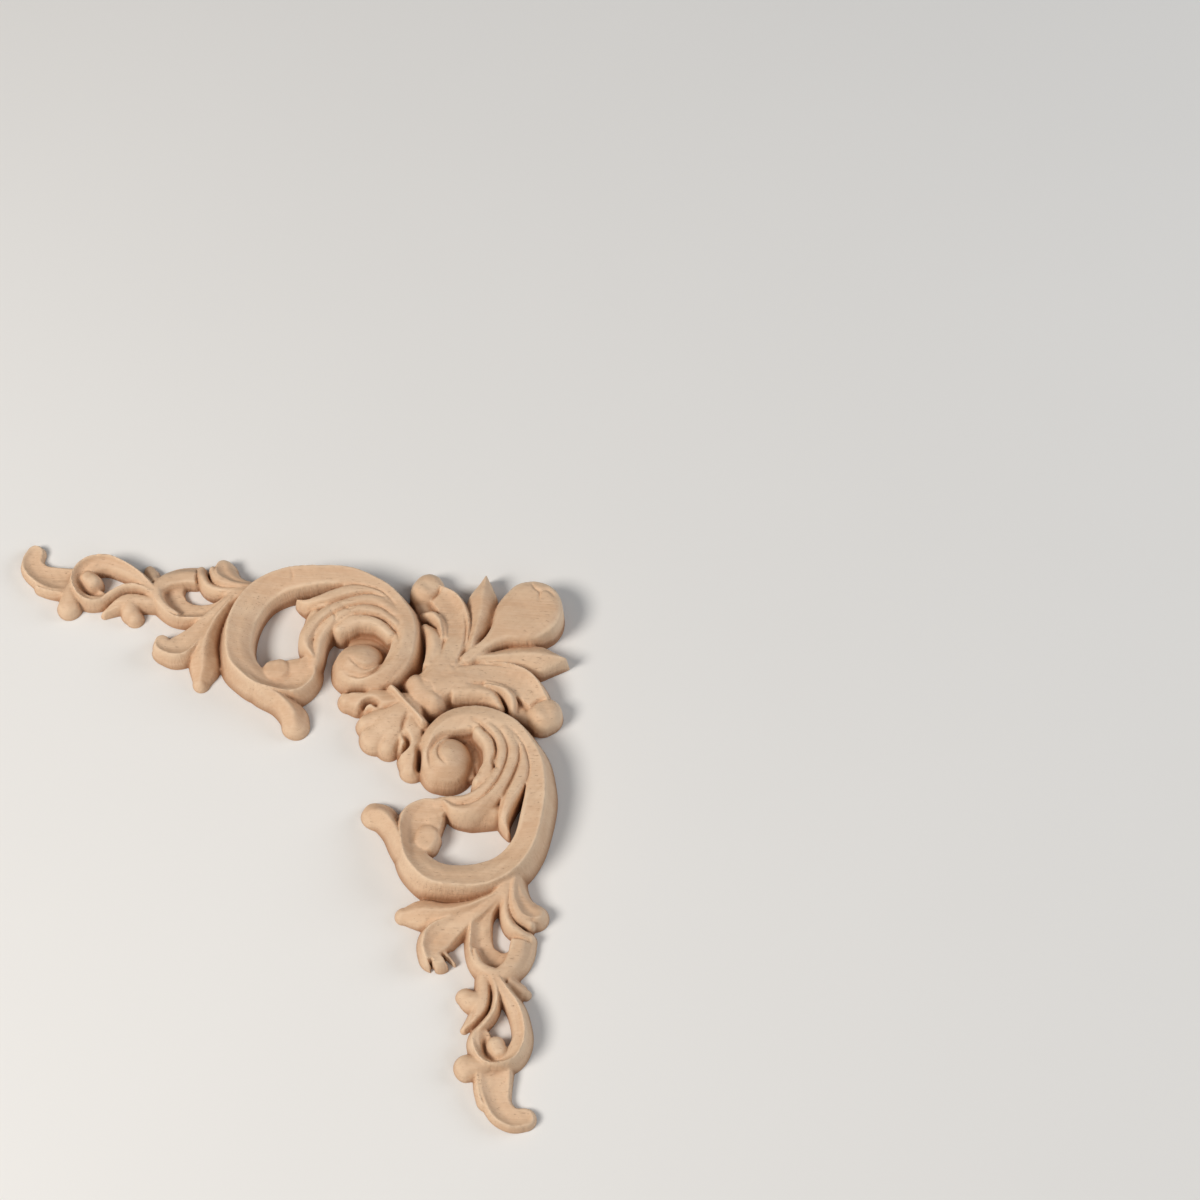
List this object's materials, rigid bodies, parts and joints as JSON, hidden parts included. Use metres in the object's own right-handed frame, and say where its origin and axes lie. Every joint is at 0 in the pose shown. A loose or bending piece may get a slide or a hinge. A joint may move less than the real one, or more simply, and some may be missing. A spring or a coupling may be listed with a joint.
{
  "type": "wooden corner onlay",
  "caption": "Flat-backed carved wooden corner ornament with pierced acanthus scrolls and a palmette, glued to a door, drawer or panel corner.",
  "frame": {"origin": "point of the flat back on the ornament's diagonal, under the root of the palmette, 32 mm inside both outer edges of the corner", "axes": "+Z out of the flat back towards the carving; one arm runs along -X, the other along -Y, and the outer corner points to +X +Y"},
  "size_m": [0.1486, 0.1486, 0.0104],
  "materials": {
    "wood": "bare, finely sanded, matt"
  },
  "bodies": {
    "root": {"corner_onlay": "wood"}
  },
  "joints": []
}
